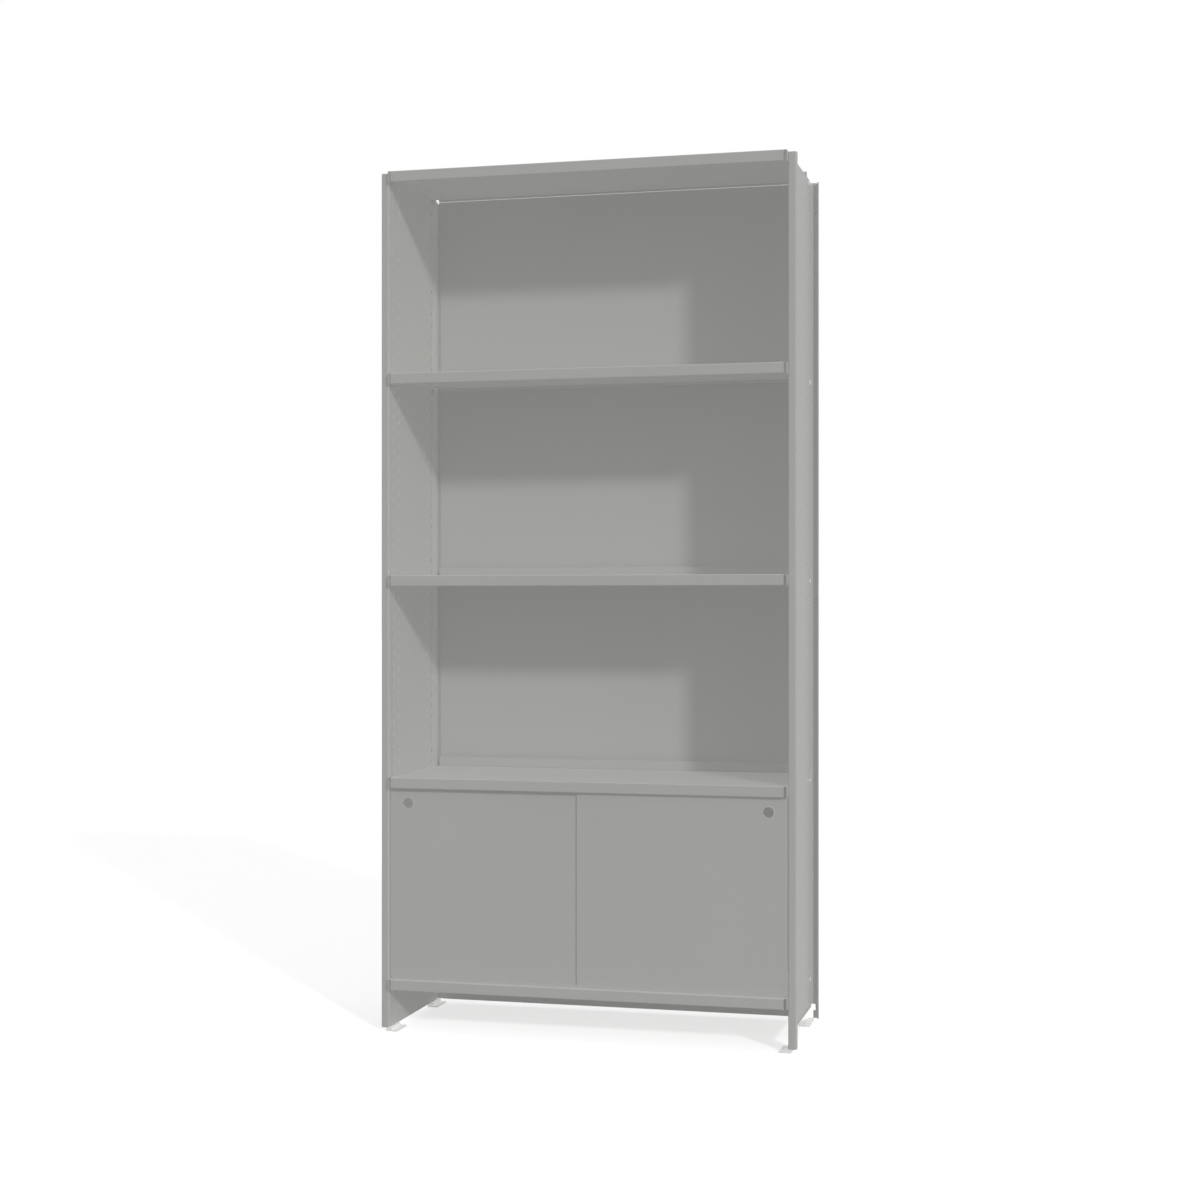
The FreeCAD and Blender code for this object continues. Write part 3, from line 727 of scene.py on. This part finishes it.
def spots_mesh(spots):
    """One point per fastener, at its place, with the turn that its copy gets."""
    mesh = bpy.data.meshes.new("spots")
    mesh.from_pydata([place for place, turn in spots], [], [])
    attribute = mesh.attributes.new("turn", "FLOAT_VECTOR", "POINT")
    attribute.data.foreach_set("vector", [value for place, turn in spots for value in turn])
    return mesh


def keep_copies(name, model_mesh, spots, replaced):
    """Makes one zinc plated piece of all copies of a model at their spots."""
    holder = into_scene("model", model_mesh)
    copies = run_tree(FASTENERS, spots_mesh(spots), Model=holder, Finish=ZINC)
    bpy.data.objects.remove(holder)
    smooth_curves(copies)
    keep_piece(name, copies, ZINC, "bookcase", "zinc", replaced)


print("tree:", FASTENERS.name)

# %% [markdown]
# A thread shows only where it leaves the nut, so it is an outline of small ridges and not a true
# helix. A hexagon is turned like the rest, with a radius that grows from the middle of each flat to
# its corners. A cone trims it, so the farther out a point is, the deeper the trim reaches, and that
# gives the curved corners of a real bolt head. Bolt and head are one closed skin.

# %% Thread and hexagon outlines
THREAD_PITCH = 0.7 * MM
HEXAGON_STEPS = 48             # a multiple of six, so that the corners are hit
TRIM_SHARE = 0.94              # round face on the end of a hexagon, as a share of its flats


def thread_outline(start, end, radius, root):
    """Ridges from start to end along the axis."""
    count = int((end - start) / THREAD_PITCH)
    points = []
    for i in range(count):
        at = start + (end - start) * i / count
        points += [(root, at), (radius, at + (end - start) / count / 2)]
    return points + [(root, end)]


def hexagon_outline(angle, flats, start, end, trim, trimmed_start):
    """The side of a hexagon at an angle from a flat's middle, trimmed at its end or both ends."""
    from_flat = (angle + math.pi / 6) % (math.pi / 3) - math.pi / 6
    radius = flats / 2 / math.cos(from_flat)
    corner = flats / math.sqrt(3)
    face = flats / 2 * TRIM_SHARE
    drop = trim * (radius - face) / (corner - face)
    first = [(face, start), (radius, start + drop)] if trimmed_start else [(radius, start)]
    return first + [(radius, end - drop), (face, end)]


# %% Bolt and nut sizes
bolt_boxes = island_boxes("shelf_bolts")
nut_boxes = island_boxes("shelf_nuts")
low, high = next(box for box in bolt_boxes if box[0].x > 0)
BOLT_LENGTH = high.x - low.x
HEAD_FLATS = high.y - low.y
HEAD_HEIGHT = 4.0 * MM
HEAD_TRIM = 0.9 * MM
SHANK = 3.8 * MM
BOLT_TIP = 0.38 * SHANK        # radius of the flat end
BOLT_ROOT = 0.40 * SHANK       # radius between the ridges
BOLT_LEAD = 0.3 * MM           # from the end to the first ridge
NUT_FLATS = 7.0 * MM
NUT_HEIGHT = 3.2 * MM
NUT_TRIM = 0.5 * MM
NUT_BORE = SHANK + 0.2 * MM
print("bolts:", len(bolt_boxes), "nuts:", len(nut_boxes), "bolt length",
      round(BOLT_LENGTH / MM, 2), "mm, flats", round(HEAD_FLATS / MM, 2))

# %% Bolts and nuts
under_head = BOLT_LENGTH - HEAD_HEIGHT
bolt_thread = [(0, 0), (BOLT_TIP, 0)] + thread_outline(BOLT_LEAD, under_head, SHANK / 2, BOLT_ROOT)


def bolt_outline(angle):
    """Thread, head and the middle of the head's end."""
    head = hexagon_outline(angle, HEAD_FLATS, under_head, BOLT_LENGTH, HEAD_TRIM,
                           trimmed_start=False)
    return bolt_thread + head + [(0, BOLT_LENGTH)]


def nut_outline(angle):
    """A ring with a hexagon outside and a plain bore."""
    outside = hexagon_outline(angle, NUT_FLATS, 0.0, NUT_HEIGHT, NUT_TRIM, trimmed_start=True)
    return [(NUT_BORE / 2, 0)] + outside + [(NUT_BORE / 2, NUT_HEIGHT)]


def web_spots(boxes):
    """Inner end and outward turn of each fastener that goes through a side panel's web."""
    return [((low.x if low.x > 0 else high.x, (low.y + high.y) / 2, (low.z + high.z) / 2),
             (0, 0, 0 if low.x > 0 else math.pi)) for low, high in boxes]


bolt = closed_mesh(turned(bolt_outline, HEXAGON_STEPS, closed=False), "bolt")
keep_copies("hexagon_bolts", bolt, web_spots(bolt_boxes), "shelf_bolts")
nut = closed_mesh(turned(nut_outline, HEXAGON_STEPS, closed=True), "nut")
keep_copies("hexagon_nuts", nut, web_spots(nut_boxes), "shelf_nuts")

# %% [markdown]
# The screws on the back have a low domed head with a cross recess, cut by two small tapered bars.

# %% Screw model
SCREW_STEPS = 32
screw_boxes = island_boxes("back_panel_screws")
low, high = screw_boxes[0]
SCREW_LENGTH = high.y - low.y
SCREW_HEAD = (high.x - low.x) / 2
SCREW_RIM = 0.5 * MM           # straight side of the head, below its dome
SCREW_DOME = 1.3 * MM
SCREW_SHANK = 3.9 * MM
SCREW_TIP = 0.15 * SCREW_SHANK
SCREW_TIP_LENGTH = 0.2 * MM
SCREW_ROOT = 0.38 * SCREW_SHANK
SCREW_LEAD = 1.2 * MM

under_head = SCREW_LENGTH - SCREW_RIM - SCREW_DOME
thread = [(0, 0), (SCREW_TIP, SCREW_TIP_LENGTH)] + thread_outline(
    SCREW_LEAD, under_head, SCREW_SHANK / 2, SCREW_ROOT)
dome = [(SCREW_HEAD * math.cos(a), under_head + SCREW_RIM + SCREW_DOME * math.sin(a))
        for a in [i * math.pi / 10 for i in range(5)]]
head = [(SCREW_HEAD, under_head)] + dome + [(0, SCREW_LENGTH)]
screw = closed_mesh(turned(thread + head, SCREW_STEPS, closed=False), "screw")
print("screws:", len(screw_boxes), "length", round(SCREW_LENGTH / MM, 2), "mm")

# %% Cross recess and back screws
RECESS_REACH = 2.1 * MM        # from the middle to the end of a bar
RECESS_WIDTH = 0.45 * MM       # from the middle to the side of a bar
RECESS_DEPTH = 1.2 * MM
RECESS_TAPER = 0.6             # size of a bar's bottom, as a share of its top


def cross_recess(mesh, top):
    """A mesh with a cross sunk into its end at +X."""
    work = bmesh.new()
    for across, up in ((RECESS_REACH, RECESS_WIDTH), (RECESS_WIDTH, RECESS_REACH)):
        for point in bmesh.ops.create_cube(work, size=2.0)["verts"]:
            taper = 1.0 if point.co.x > 0 else RECESS_TAPER
            point.co = (top + RECESS_DEPTH * point.co.x, across * taper * point.co.y,
                        up * taper * point.co.z)
    cutter_mesh = bpy.data.meshes.new("cross")
    work.to_mesh(cutter_mesh)
    work.free()
    holder = into_scene("screw", mesh)
    cutter = into_scene("cross", cutter_mesh)
    sink = holder.modifiers.new("sink", "BOOLEAN")
    sink.operation = "DIFFERENCE"
    sink.solver = "EXACT"
    sink.use_self = True
    sink.object = cutter
    result = plain_mesh(holder)
    for item in (holder, cutter):
        bpy.data.objects.remove(item)
    return result


spots = [(((low.x + high.x) / 2, low.y, (low.z + high.z) / 2), (0, 0, math.pi / 2))
         for low, high in screw_boxes]
keep_copies("pan_head_screws", cross_recess(screw, SCREW_LENGTH), spots, "back_panel_screws")
